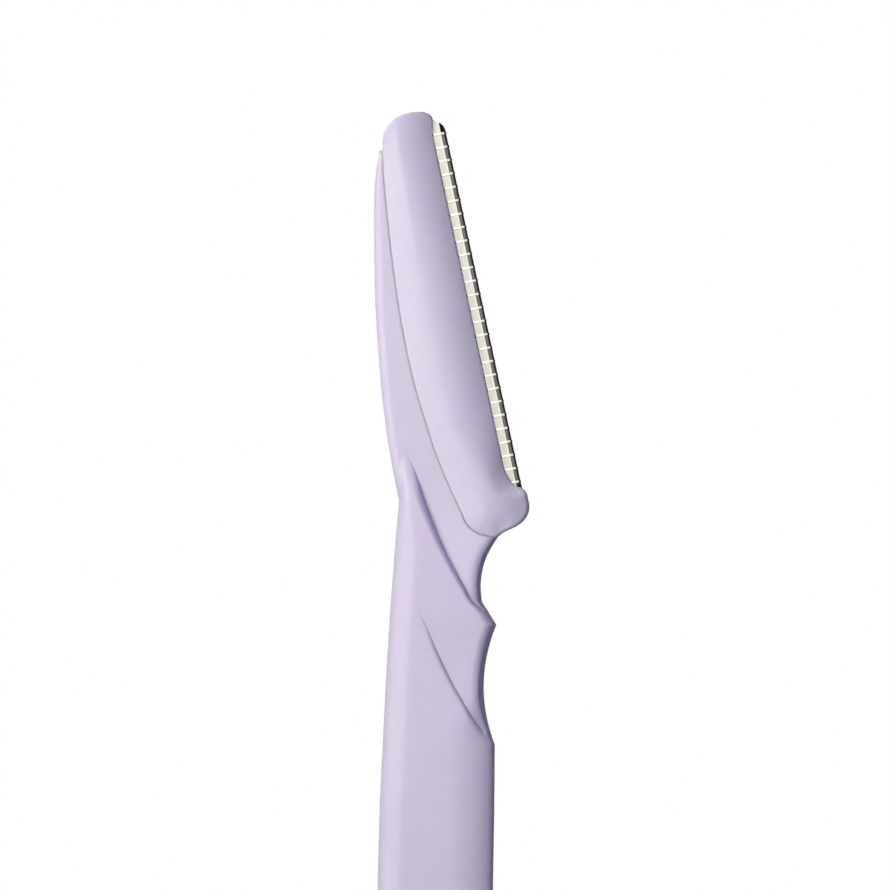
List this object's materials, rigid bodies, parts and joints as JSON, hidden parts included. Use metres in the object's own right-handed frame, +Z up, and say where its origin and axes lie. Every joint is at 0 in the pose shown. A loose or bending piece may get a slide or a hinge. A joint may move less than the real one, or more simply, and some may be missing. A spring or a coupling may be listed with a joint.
{
  "type": "eyebrow razor",
  "caption": "Eyebrow razor: a guarded straight steel blade held between two head covers on a slim moulded handle with folded neck and finger scoops.",
  "frame": {"origin": "centre of the bounding box's footprint, level with the lower end of the handle", "axes": "+Z runs up the long axis to the top of the head, the cutting edge looks to +X, and -Y is the front"},
  "size_m": [0.0158, 0.0046, 0.15],
  "materials": {
    "handle_plastic": "satin lavender",
    "cover_plastic": "satin lavender",
    "blade_steel": "ground",
    "guard_steel": "bright rolled"
  },
  "bodies": {
    "root": {"handle": "handle_plastic", "front_head_cover": "cover_plastic", "rear_head_cover": "cover_plastic", "blade": "blade_steel", "blade_guard": "guard_steel"}
  },
  "joints": []
}
